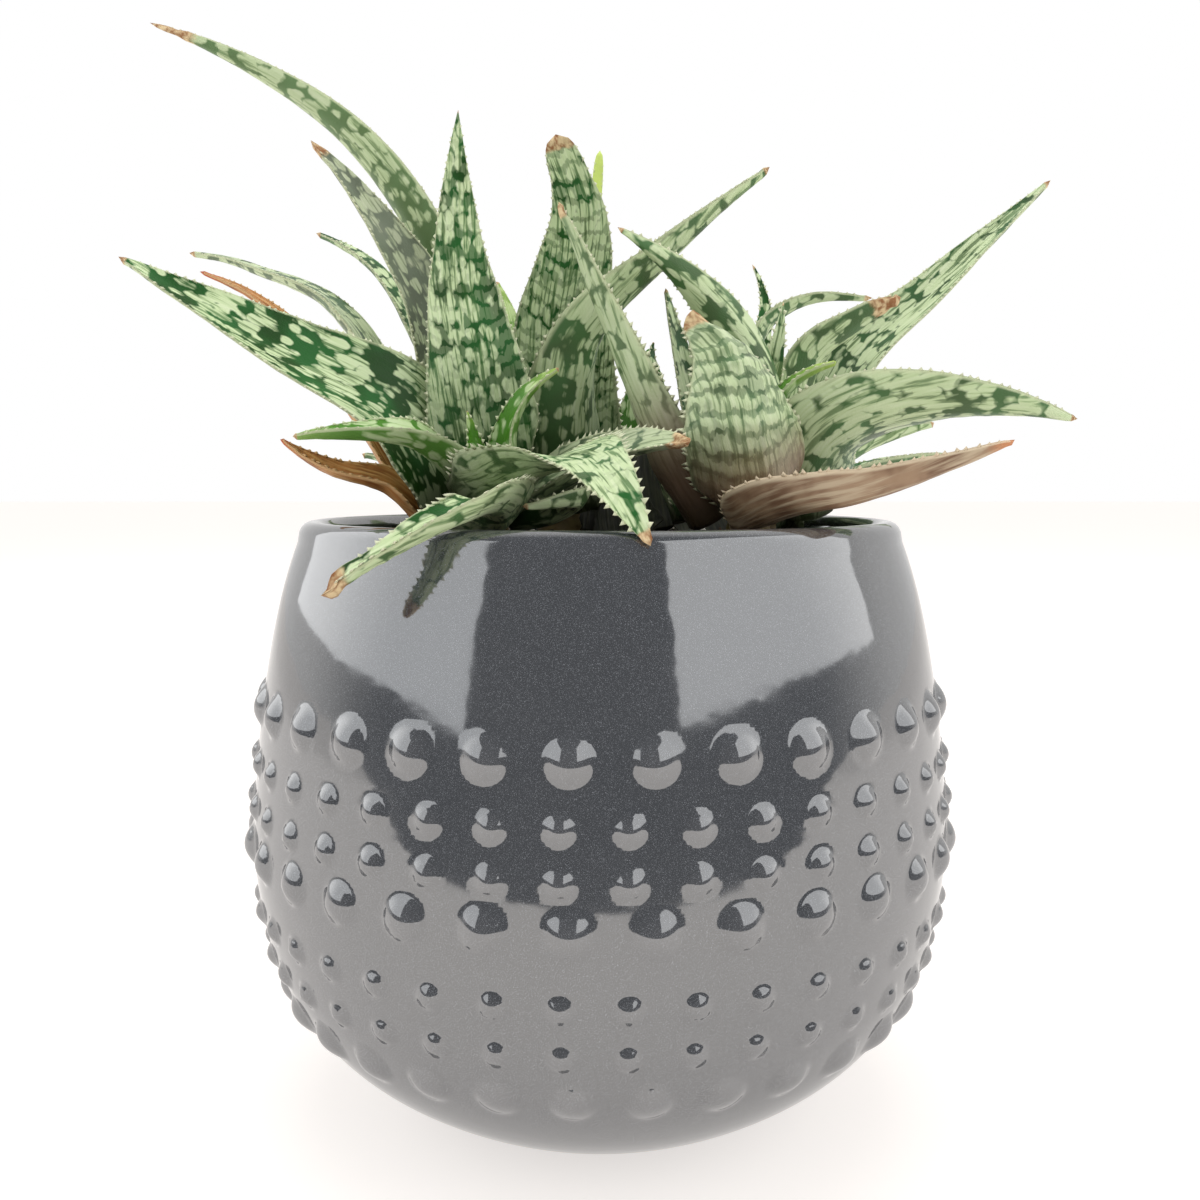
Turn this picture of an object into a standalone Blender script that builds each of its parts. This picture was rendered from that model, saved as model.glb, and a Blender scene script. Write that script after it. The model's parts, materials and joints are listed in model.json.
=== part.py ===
"""A hobnail planter with a clump of small spotted aloes.

The pot stands on z = 0 with its axis on Z. Five rosettes share the pot. Each has a short stem in the
soil, and its leaves are separate pieces around that stem. Lengths in the tables are millimetres.
"""

from collections import namedtuple
from math import cos, pi, radians, sin

import bpy
from mathutils import Vector

MM = 0.001

# Pot
RIM_HEIGHT = 105.0
WALL = 5.0
FLOOR = 6.0
OUTLINE = ((0, 29.1), (6, 39.8), (13, 48.8), (21, 55.3), (31, 59.7), (48, 62.4), (67, 61.1),
           (80, 59.3), (92, 56.8), (102, 53.6))
SIDES = 80

# Raised dots: two sizes, in level rows around the pot
LARGE_DOT = 1.5
SMALL_DOT = 1.2
LARGE_ROWS = (23.3, 50.3, 74.2)
SMALL_ROWS = (31.4, 39.2, 57.5, 64.9)
LARGE_TURN = radians(-4.0)
LARGE_COLUMNS = (0, 2)

# Soil and stems
SOIL_TOP = 101.5
SOIL_SIDES = 40
CLEARANCE = 0.35
STEM_FOOT = 92.0
STEM_SIDES = 12

Stem = namedtuple("Stem", "name x y radius top")
STEMS = (
    Stem("left_crown_stem", -20, -7, 4.0, 112),
    Stem("middle_crown_stem", -8, 13, 4.5, 112),
    Stem("right_crown_stem", 26, -9, 4.0, 112),
    Stem("rear_right_crown_stem", 33, 18, 4.0, 111),
    Stem("rear_crown_stem", -6, 32, 4.0, 110),
)

# A leaf follows its route from base to tip. Its two face vectors say which way the hollow upper
# side looks at the base and at the tip.
Leaf = namedtuple("Leaf", "name route width thickness face_base face_tip channel taper")
LEAVES = (
    Leaf("left_leaf_sweeping", ((-17, 8, 104), (-27, 16, 141), (-37, 15, 165), (-54, 17, 183),
          (-86, 19, 199)),
         13, 3.2, (0.5, 0.8, 0.1), (0.5, 0.7, 0.5), 0.3, 0.8),
    Leaf("left_leaf_grey", ((-23, 3, 105), (-30, 8, 139), (-40, 7, 158), (-53, 7, 174)),
         15, 3, (0.6, -0.75, 0.2), (0.6, -0.6, 0.3), 0.45, 0.9),
    Leaf("left_leaf_upright", ((-19, -1, 110), (-22, -4, 131), (-25, -1, 151), (-25, -1, 177)),
         20, 3.6, (0, -1, 0.1), (0.1, -1, 0.1), 0.3, 0.95),
    Leaf("left_leaf_broad", ((-27, -3, 106), (-34, -8, 123), (-53, -12, 134), (-80, -16, 149)),
         24, 3.4, (0.45, -0.65, 0.6), (0.2, -0.7, 0.7), 0.38, 0.9),
    Leaf("left_leaf_back_long", ((-28, 5, 104), (-51, 24, 145), (-74, 38, 157), (-89, 46, 161)),
         12, 3, (0.3, 0.3, 0.9), (0, -0.3, 1), 0.3, 0.9),
    Leaf("left_leaf_back_small", ((-22, 12, 104), (-40, 26, 148), (-60, 40, 164)),
         10, 3, (0.4, -0.2, 0.9), (0.3, -0.5, 0.8), 0.3, 0.9),
    Leaf("left_leaf_back_dry", ((-32, 1, 104), (-58, 14, 140), (-79, 22, 153)),
         9, 1.8, (0.3, -0.2, 0.9), (0.2, -0.4, 0.9), 0.5, 0.9),
    Leaf("left_leaf_young_left", ((-24, -10, 112), (-29, -19, 119), (-39, -24, 120), (-49, -27, 119)),
         10, 2.4, (0.2, -0.35, 0.95), (0.1, -0.2, 1), 0.7, 0.8),
    Leaf("left_leaf_young_right", ((-16, -10, 112), (-15, -12, 123), (-7, -14, 131)),
         7, 2, (-0.6, -0.6, 0.4), (-0.5, -0.6, 0.6), 0.6, 0.8),
    Leaf("left_leaf_young_centre", ((-21, -9, 114), (-23, -10, 124)),
         4, 1.6, (0.3, -0.8, 0.3), (0.3, -0.8, 0.3), 0.5, 0.8),
    Leaf("left_leaf_curled", ((-21, -14, 109), (-14, -24, 114), (-4, -34, 116), (1, -47, 113),
          (7, -54, 103)),
         18, 2.8, (-0.1, 0.7, 0.8), (-0.3, -0.8, 0.6), 0.35, 0.7),
    Leaf("left_leaf_front", ((-22, -14, 104), (-16, -30, 108), (-18, -46, 109), (-29, -52, 103),
          (-39, -53, 96)),
         14, 2.6, (-0.1, -0.3, 1), (-0.5, -0.3, 0.8), 0.55, 0.8),
    Leaf("left_leaf_tucked", ((-15, -15, 105), (-4, -24, 109), (-12, -34, 108)),
         9, 2.4, (-0.3, 0.2, 0.9), (-0.4, 0.2, 0.9), 0.5, 0.7),
    Leaf("left_leaf_right", ((-14, -9, 108), (0, -20, 116), (14, -32, 118)),
         9, 2.4, (-0.1, 0.6, 0.8), (-0.2, 0.5, 0.8), 0.5, 0.75),
    Leaf("left_leaf_dead", ((-31, -9, 104), (-36, -10, 111), (-46, -11, 114), (-55, -12, 119)),
         9, 1.6, (0.3, -0.3, 0.9), (0.3, -0.4, 0.9), 0.6, 0.8),
    Leaf("middle_leaf_stub", ((-8, 19, 106), (-7, 19, 141), (-4, 15, 160), (-6, 9, 175)),
         22, 3.6, (0, -1, 0.1), (0, -1, 0.1), 0.35, 0.7),
    Leaf("middle_leaf_diagonal", ((-3, 9, 107), (-4, 3, 136), (10, 3, 152), (31, 6, 169)),
         19, 3.2, (-0.5, 0.6, 0.6), (-0.5, -0.2, 0.8), 0.6, 0.9),
    Leaf("rear_leaf_bright", ((-1, 34, 105), (3, 40, 150), (1, 44, 182)),
         8, 2.6, (0, -1, 0), (0, -1, 0.2), 0.4, 0.8),
    Leaf("rear_leaf_left", ((-12, 31, 105), (-18, 36, 143), (-22, 40, 154)),
         12, 3, (0.5, -0.5, 0.6), (0.5, -0.5, 0.6), 0.4, 0.9),
    Leaf("rear_leaf_back", ((-6, 38, 105), (-10, 50, 126), (-16, 66, 140)),
         16, 3.4, (0.1, -0.8, 0.6), (0.1, -0.5, 0.8), 0.4, 0.9),
    Leaf("rear_leaf_back_right", ((0, 37, 104), (8, 50, 116), (16, 72, 124)),
         15, 3.4, (-0.1, -0.5, 0.9), (-0.1, -0.3, 0.9), 0.4, 0.9),
    Leaf("rear_leaf_back_left", ((-13, 37, 106), (-32, 46, 113), (-54, 54, 118)),
         14, 3.2, (0.3, -0.3, 0.9), (0.2, -0.2, 1), 0.45, 0.9),
    Leaf("right_leaf_pale", ((18, -10, 105), (12, -13, 116), (1, -12, 141), (-7, -11, 159)),
         13, 2.6, (0.7, 0.7, 0.2), (0.8, 0.3, 0.5), 0.4, 0.85),
    Leaf("right_leaf_banded", ((27, -16, 107), (24, -23, 119), (22, -21, 129), (18, -16, 139)),
         20, 3.4, (0, 1, 0.1), (-0.3, 0.8, -0.6), 0.45, 0.6),
    Leaf("right_leaf_arching", ((31, -4, 107), (29, -6, 127), (20, -7, 142), (3, -10, 155)),
         14, 3.2, (-0.8, 0.4, 0.3), (-0.3, 0.5, 0.8), 0.4, 0.85),
    Leaf("right_leaf_right", ((35, -11, 106), (39, -15, 120), (56, -18, 125), (78, -22, 122)),
         20, 3.6, (-0.1, 0.75, 0.6), (0, 0.6, 0.8), 0.45, 0.9),
    Leaf("right_leaf_dead", ((23, -19, 104), (27, -32, 108), (41, -39, 111), (61, -42, 118)),
         13, 1.8, (-0.1, 0.6, 0.8), (-0.1, 0.6, 0.8), 0.5, 0.85),
    Leaf("right_leaf_inner_left", ((22, -4, 106), (16, 2, 130), (12, 4, 147)),
         9, 2.8, (0.5, -0.8, 0.2), (0.4, -0.8, 0.3), 0.4, 0.8),
    Leaf("right_leaf_inner_dark", ((15, -5, 105), (10, 4, 128), (10, 10, 138)),
         8, 2.6, (0.6, -0.7, 0.3), (0.5, -0.7, 0.4), 0.4, 0.8),
    Leaf("right_leaf_young", ((26, -13, 115), (31, -13, 127), (40, -14, 132)),
         6, 2, (-0.5, -0.2, 0.9), (-0.5, -0.3, 0.9), 0.6, 0.8),
    Leaf("right_leaf_low_right", ((34, -3, 104), (40, 4, 114), (64, 12, 123)),
         12, 3, (-0.2, 0.5, 0.9), (-0.2, 0.4, 0.9), 0.4, 0.85),
    Leaf("rear_right_leaf_long", ((39, 15, 106), (48, 19, 133), (65, 21, 149), (89, 24, 171)),
         16, 3.2, (-0.5, -0.8, 0.4), (-0.5, -0.7, 0.6), 0.45, 0.85),
    Leaf("rear_right_leaf_folded", ((34, 12, 105), (39, 9, 134), (47, 8, 141), (56, 8, 146)),
         15, 2.8, (-0.5, 0.6, 0.7), (-0.5, 0.5, 0.7), 0.5, 0.6),
    Leaf("rear_right_leaf_green", ((29, 24, 106), (33, 32, 143), (57, 36, 150)),
         12, 3, (-0.2, 0.3, 1), (-0.1, 0.2, 1), 0.4, 0.8),
    Leaf("rear_right_leaf_pale", ((26, 10, 107), (31, -1, 132), (33, 0, 144)),
         8, 2.6, (0, -1, 0.2), (-0.1, -1, 0.2), 0.4, 0.8),
    Leaf("rear_right_leaf_far_tip", ((22, 27, 105), (36, 48, 146), (34, 54, 160)),
         10, 2.8, (0, -0.9, 0.4), (0, -0.7, 0.7), 0.4, 0.9),
    Leaf("rear_right_leaf_back", ((33, 26, 106), (45, 42, 122), (56, 60, 133)),
         15, 3.4, (-0.2, -0.6, 0.8), (-0.2, -0.4, 0.9), 0.4, 0.9),
    Leaf("rear_right_leaf_right", ((38, 22, 107), (57, 29, 115), (78, 37, 117)),
         13, 3.2, (-0.5, -0.1, 0.9), (-0.1, 0, 1), 0.45, 0.9),
)
STATIONS = 9
UPPER = (-1.0, -0.55, 0.0, 0.55, 1.0)
LOWER = (0.6, 0.0, -0.6)
NECK = 0.4
NECK_LENGTH = 0.25
SHOULDER = 0.2
BALANCE = 0.4

GREEN = (0.16, 0.27, 0.13)
GREY_GREEN = (0.27, 0.30, 0.24)
YOUNG_GREEN = (0.13, 0.33, 0.08)
DRY_BROWN = (0.36, 0.17, 0.08)
SLATE = (0.085, 0.090, 0.098)
PEAT = (0.020, 0.013, 0.009)
STEM_GREEN = (0.25, 0.22, 0.12)


def material(name, color, roughness):
    """A plain material of one colour."""
    made = bpy.data.materials.new(name)
    made.use_nodes = True
    shader = made.node_tree.nodes["Principled BSDF"]
    shader.inputs["Base Color"].default_value = (*color, 1.0)
    shader.inputs["Roughness"].default_value = roughness
    shader.inputs["Metallic"].default_value = 0.0
    return made


def add_object(name, points, faces, finish):
    """A smooth-shaded object from points in millimetres."""
    mesh = bpy.data.meshes.new(name)
    mesh.from_pydata([Vector(point) * MM for point in points], [], faces)
    mesh.materials.append(finish)
    mesh.shade_smooth()
    made = bpy.data.objects.new(name, mesh)
    bpy.context.collection.objects.link(made)
    return made


def slope(knots, values, i):
    """The slope of a smooth curve at its i-th point."""
    if len(values) == 2:
        return values[1] - values[0]
    last = len(values) - 1
    inner = min(max(i, 1), last - 1)
    middle = (values[inner + 1] - values[inner - 1]) / (knots[inner + 1] - knots[inner - 1])
    if i == inner:
        return middle
    low, high = (0, 1) if i == 0 else (last - 1, last)
    return 2 * (values[high] - values[low]) / (knots[high] - knots[low]) - middle


def smooth_value(knots, values, at):
    """A smooth curve through values at rising knots: its value and its slope."""
    i = 0
    while i < len(knots) - 2 and knots[i + 1] <= at:
        i += 1
    span = knots[i + 1] - knots[i]
    t = (at - knots[i]) / span
    start = slope(knots, values, i) * span
    end = slope(knots, values, i + 1) * span
    rise = values[i + 1] - values[i]
    square = 3 * rise - 2 * start - end
    cube = start + end - 2 * rise
    value = values[i] + start * t + square * t**2 + cube * t**3
    rate = start + 2 * square * t + 3 * cube * t**2
    return value, rate / span


def smooth_step(t):
    """Rises from 0 to 1 with level ends."""
    t = min(max(t, 0.0), 1.0)
    return t * t * (3 - 2 * t)


def wall_radius(z):
    """The pot's outer radius at height z, without its dots."""
    return smooth_value([point[0] for point in OUTLINE], [point[1] for point in OUTLINE], z)[0]


def rings_to_faces(count, sides):
    """Quads between rings of points, each ring joined to the next."""
    faces = []
    for ring in range(count - 1):
        low = ring * sides
        for i in range(sides):
            j = (i + 1) % sides
            faces.append((low + i, low + j, low + sides + j, low + sides + i))
    return faces


def pot_rings():
    """The pot's rings of (radius, height, dot) from the foot, over the rim and down to the floor."""
    rings = [(wall_radius(z), z, None) for z in (0, 2, 6, 12, 19.5)]
    between = [27.2, 35.3, 43.4, 46.9, 53.9, 61.2, 70.4, 78.0]
    rows = [(z, "large") for z in LARGE_ROWS] + [(z, "small") for z in SMALL_ROWS]
    rows += [(z, None) for z in between]
    rings += [(wall_radius(z), z, dot) for z, dot in sorted(rows, key=lambda row: row[0])]
    rings += [(wall_radius(z), z, None) for z in (85, 92, 99, 102.5)]
    lip = wall_radius(99) - WALL / 2
    rings += [(lip + 0.9, RIM_HEIGHT - 0.2, None), (lip - 1.0, RIM_HEIGHT, None)]
    rings += [(wall_radius(102.5) - WALL, 102.5, None)]
    rings += [(wall_radius(z) - WALL, z, None) for z in (98, 90, 75, 55, 35, 20, 11)]
    rings += [(wall_radius(FLOOR) - WALL - 4, FLOOR, None)]
    return rings


def dot_height(dot, column):
    """How far a dot stands out at one of the pot's columns."""
    if dot == "large" and column % 5 in LARGE_COLUMNS:
        return LARGE_DOT
    if dot == "small" and column % 2 == 0:
        return SMALL_DOT
    return 0.0


def make_pot(finish):
    """The glazed pot: one turned shell with its dots."""
    points = []
    rings = pot_rings()
    for radius, z, dot in rings:
        for column in range(SIDES):
            angle = 2 * pi * column / SIDES + LARGE_TURN
            reach = radius + dot_height(dot, column)
            points.append((reach * sin(angle), -reach * cos(angle), z))
    faces = rings_to_faces(len(rings), SIDES)
    faces.append(tuple(reversed(range(SIDES))))
    faces.append(tuple(range((len(rings) - 1) * SIDES, len(rings) * SIDES)))
    return add_object("pot", points, faces, finish)


def make_soil(finish):
    """The soil, which fills the pot to just under the rim."""
    heights = (FLOOR + CLEARANCE, 11.4, 20, 35, 55, 75, 90, 98, SOIL_TOP - 1.0)
    rings = []
    for i, z in enumerate(heights):
        shrink = CLEARANCE + (4 if i == 0 else 0)
        rings.append((wall_radius(z) - WALL - shrink - 0.25, z, 0.0))
    rings += [(share * wall_radius(98), SOIL_TOP, 0.6) for share in (0.7, 0.45, 0.2)]
    points = []
    for radius, z, unevenness in rings:
        for i in range(SOIL_SIDES):
            angle = 2 * pi * i / SOIL_SIDES
            bump = unevenness * sin(3 * angle + radius) * cos(2 * angle)
            points.append((radius * sin(angle), -radius * cos(angle), z + bump))
    faces = rings_to_faces(len(rings), SOIL_SIDES)
    faces.append(tuple(reversed(range(SOIL_SIDES))))
    faces.append(tuple(range((len(rings) - 1) * SOIL_SIDES, len(rings) * SOIL_SIDES)))
    return add_object("soil", points, faces, finish)


def stem_points(stem, grow=0.0):
    """A stem's rings, swollen by grow for the socket that it stands in."""
    foot = (STEM_FOOT - grow, 0.55)
    rings = (foot, (STEM_FOOT + 3, 0.9), (102, 1.0), (stem.top - 4, 0.8), (stem.top, 0.45))
    points = []
    for z, share in rings:
        radius = stem.radius * share + grow
        for i in range(STEM_SIDES):
            angle = 2 * pi * i / STEM_SIDES
            points.append((stem.x + radius * sin(angle), stem.y - radius * cos(angle), z))
    faces = rings_to_faces(len(rings), STEM_SIDES)
    faces.append(tuple(reversed(range(STEM_SIDES))))
    faces.append(tuple(range((len(rings) - 1) * STEM_SIDES, len(rings) * STEM_SIDES)))
    return points, faces


def make_stem(stem, soil, finish):
    """A rosette's stem and its socket in the soil."""
    points, faces = stem_points(stem)
    add_object(stem.name, points, faces, finish)
    points, faces = stem_points(stem, CLEARANCE)
    cutter = add_object(stem.name + "_socket", points, faces, finish)
    cutter.hide_render = True
    cutter.display_type = "WIRE"
    cut = soil.modifiers.new(stem.name, "BOOLEAN")
    cut.object = cutter
    cut.operation = "DIFFERENCE"
    cut.solver = "EXACT"


def leaf_section(leaf, s):
    """The ring of points around a leaf at share s of its length."""
    route = [Vector(point) for point in leaf.route]
    knots = [0.0]
    for a, b in zip(route, route[1:]):
        knots.append(knots[-1] + (b - a).length)
    centre, along = smooth_value([knot / knots[-1] for knot in knots], route, s)
    along.normalize()
    face = Vector(leaf.face_base).lerp(Vector(leaf.face_tip), s)
    face = (face - along * along.dot(face)).normalized()
    side = along.cross(face)
    neck = NECK + (1 - NECK) * smooth_step(s / NECK_LENGTH)
    half = leaf.width / 2 * neck * min(1.0, (1 - s) / (1 - SHOULDER)) ** leaf.taper
    thick = leaf.thickness * (1 - 0.7 * s)
    ring = []
    for u in UPPER + LOWER:
        height = leaf.channel * half * (abs(u) ** 1.6 - BALANCE)
        height += 0.3 * thick * (1 - u * u)
        ring.append(centre + side * half * u + face * height)
    for i, u in enumerate(LOWER):
        ring[len(UPPER) + i] -= face * (0.3 * thick * (1 - u * u) + 0.7 * thick * (1 - u * u) ** 0.8)
    return ring


def make_leaf(leaf, finish):
    """A fleshy leaf: hollow above, round below, thin at its margins and pointed."""
    points = []
    for i in range(STATIONS):
        points += leaf_section(leaf, i / STATIONS)
    points.append(Vector(leaf.route[-1]))
    sides = len(UPPER) + len(LOWER)
    tip = len(points) - 1
    faces = rings_to_faces(STATIONS, sides)
    faces.append(tuple(reversed(range(sides))))
    faces += [(tip - sides + i, tip - sides + (i + 1) % sides, tip) for i in range(sides)]
    return add_object(leaf.name, points, faces, finish)


def leaf_finish(name):
    """The colour and roughness of one leaf, by its name."""
    if "dead" in name or "dry" in name:
        return DRY_BROWN, 0.6
    if "young" in name or "bright" in name:
        return YOUNG_GREEN, 0.4
    if "grey" in name or "pale" in name:
        return GREY_GREEN, 0.5
    return GREEN, 0.45


def main():
    for old in list(bpy.data.objects):
        bpy.data.objects.remove(old)
    make_pot(material("slate glaze", SLATE, 0.12))
    soil = make_soil(material("peat", PEAT, 0.95))
    for stem in STEMS:
        make_stem(stem, soil, material(stem.name, STEM_GREEN, 0.6))
    for leaf in LEAVES:
        color, roughness = leaf_finish(leaf.name)
        make_leaf(leaf, material(leaf.name, color, roughness))


main()
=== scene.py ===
"""The looks of a hobnail planter with a clump of small spotted aloes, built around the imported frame.

Lengths in the tables are millimetres; to_object turns them into metres. Every leaf carries its own
skin coordinates as mesh attributes, so that one procedural material serves them all.
"""

import json
from collections import namedtuple
from math import cos, pi, radians, sin, sqrt

import bmesh
import bpy
import numpy as np
from mathutils import Matrix, Vector, noise


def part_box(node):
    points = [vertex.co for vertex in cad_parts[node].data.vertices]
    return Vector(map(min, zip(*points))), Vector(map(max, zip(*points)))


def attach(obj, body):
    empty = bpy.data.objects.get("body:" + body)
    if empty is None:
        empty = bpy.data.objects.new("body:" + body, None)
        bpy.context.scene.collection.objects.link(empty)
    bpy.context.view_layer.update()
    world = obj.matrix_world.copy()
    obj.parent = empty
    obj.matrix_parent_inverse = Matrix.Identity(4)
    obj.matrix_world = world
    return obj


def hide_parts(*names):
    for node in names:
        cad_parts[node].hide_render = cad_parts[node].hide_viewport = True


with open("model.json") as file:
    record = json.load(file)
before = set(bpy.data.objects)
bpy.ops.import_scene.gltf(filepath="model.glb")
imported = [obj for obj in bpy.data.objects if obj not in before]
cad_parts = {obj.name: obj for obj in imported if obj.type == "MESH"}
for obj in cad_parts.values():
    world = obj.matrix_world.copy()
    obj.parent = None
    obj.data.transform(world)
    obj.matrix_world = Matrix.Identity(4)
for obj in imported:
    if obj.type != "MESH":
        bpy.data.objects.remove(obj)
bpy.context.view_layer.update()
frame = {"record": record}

MM = 0.001

# ---------------------------------------------------------------- camera

CAMERA_PLACE = (0.0, -0.2195, 0.1121)
CAMERA_TILT = 0.10
CAMERA_LENS = 35.91


def make_camera():
    """The camera, a hand's length in front of the pot and a little above its middle."""
    camera = bpy.data.objects.new("camera", bpy.data.cameras.new("camera"))
    camera.location = CAMERA_PLACE
    camera.rotation_euler = (pi / 2 - CAMERA_TILT, 0, 0)
    camera.data.lens = CAMERA_LENS
    camera.data.sensor_width = 36.0
    camera.data.clip_start = 0.01
    bpy.context.collection.objects.link(camera)
    bpy.context.scene.camera = camera


# ---------------------------------------------------------------- shader helpers


def srgb(red, green, blue):
    """A colour given in 0-255 display values, as the linear colour that a shader takes."""
    linear = []
    for value in (red, green, blue):
        share = value / 255
        linear.append(share / 12.92 if share <= 0.04045 else ((share + 0.055) / 1.055) ** 2.4)
    return (*linear, 1.0)


def new_material(name):
    """A material with nodes, and its shader."""
    material = bpy.data.materials.new(name)
    material.use_nodes = True
    return material, material.node_tree, material.node_tree.nodes["Principled BSDF"]


def put(tree, kind, inputs=(), **settings):
    """A new node: its inputs, by name or number, take a value or another node's socket."""
    node = tree.nodes.new(kind)
    for key, value in settings.items():
        setattr(node, key, value)
    for key, value in dict(inputs).items():
        if isinstance(value, bpy.types.NodeSocket):
            tree.links.new(value, node.inputs[key])
        else:
            node.inputs[key].default_value = value
    return node


def calc(tree, operation, *values, clamp=False):
    """The result of a Math node."""
    node = put(tree, "ShaderNodeMath", enumerate(values), operation=operation, use_clamp=clamp)
    return node.outputs[0]


def vector(tree, operation, inputs):
    """The result of a Vector Math node."""
    return put(tree, "ShaderNodeVectorMath", inputs, operation=operation).outputs[0]


def blend(tree, share, first, second):
    """A colour between two others."""
    node = put(tree, "ShaderNodeMix", {0: share, 6: first, 7: second}, data_type="RGBA")
    return node.outputs[2]


def ramp(tree, value, low, high, out_low=0.0, out_high=1.0):
    """A value rising smoothly between two limits."""
    inputs = {0: value, 1: low, 2: high, 3: out_low, 4: out_high}
    node = put(tree, "ShaderNodeMapRange", inputs, interpolation_type="SMOOTHSTEP")
    return node.outputs[0]


def noise_at(tree, place, scale, detail=2.0):
    """Smooth noise between 0 and 1."""
    inputs = {"Vector": place, "Scale": scale, "Detail": detail}
    return put(tree, "ShaderNodeTexNoise", inputs).outputs["Fac"]


def attribute(tree, name):
    """The three numbers of a mesh attribute."""
    numbers = put(tree, "ShaderNodeAttribute", attribute_name=name).outputs["Vector"]
    return put(tree, "ShaderNodeSeparateXYZ", {0: numbers}).outputs


def stretched(tree, x, y, z, by_x, by_y, by_z):
    """A place whose three numbers are scaled apart."""
    parts = [calc(tree, "MULTIPLY", value, by) for value, by in ((x, by_x), (y, by_y), (z, by_z))]
    return put(tree, "ShaderNodeCombineXYZ", enumerate(parts)).outputs[0]


# ---------------------------------------------------------------- materials


CLOUD_SCALE = 60.0
SPARKLE_SCALE = 9500.0
GLAZE_IOR = 2.5


def glaze_material():
    """Slate-grey glaze with a fine sparkle, thinner over the dots; bare clay where the pot stands."""
    material, tree, shader = new_material("slate_glaze")
    place = put(tree, "ShaderNodeTexCoord").outputs["Object"]
    mark = attribute(tree, "pot_mark")
    cloud = noise_at(tree, place, CLOUD_SCALE, 3.0)
    color = blend(tree, cloud, srgb(44, 47, 51), srgb(57, 59, 62))
    thin = calc(tree, "MULTIPLY", mark[0], 0.30)
    color = blend(tree, thin, color, srgb(92, 92, 94))
    grain = noise_at(tree, place, SPARKLE_SCALE, 1.0)
    color = blend(tree, ramp(tree, grain, 0.60, 0.70, 0.0, 0.60), color, srgb(158, 162, 168))
    clay = blend(tree, noise_at(tree, place, 900.0, 3.0), srgb(196, 186, 170), srgb(168, 156, 140))
    tree.links.new(blend(tree, mark[1], color, clay), shader.inputs["Base Color"])
    gloss = ramp(tree, cloud, 0.3, 0.7, 0.055, 0.085)
    rough = calc(tree, "ADD", gloss, calc(tree, "MULTIPLY", mark[1], 0.7))
    tree.links.new(rough, shader.inputs["Roughness"])
    shader.inputs["IOR"].default_value = GLAZE_IOR
    ripple = noise_at(tree, place, 130.0, 2.0)
    bump = put(tree, "ShaderNodeBump", {"Strength": 0.10, "Distance": 0.0006, "Height": ripple})
    tree.links.new(bump.outputs[0], shader.inputs["Normal"])
    return material


def soil_material(name, dark, light):
    """Peat, or the grains on it: two colours in patches over a rough, lumpy skin."""
    material, tree, shader = new_material(name)
    place = put(tree, "ShaderNodeTexCoord").outputs["Object"]
    patch = noise_at(tree, place, 900.0, 4.0)
    tree.links.new(blend(tree, ramp(tree, patch, 0.35, 0.7), dark, light), shader.inputs["Base Color"])
    shader.inputs["Roughness"].default_value = 0.92
    bump = put(tree, "ShaderNodeBump", {"Strength": 0.7, "Distance": 0.0006, "Height": patch})
    tree.links.new(bump.outputs[0], shader.inputs["Normal"])
    return material


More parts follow.
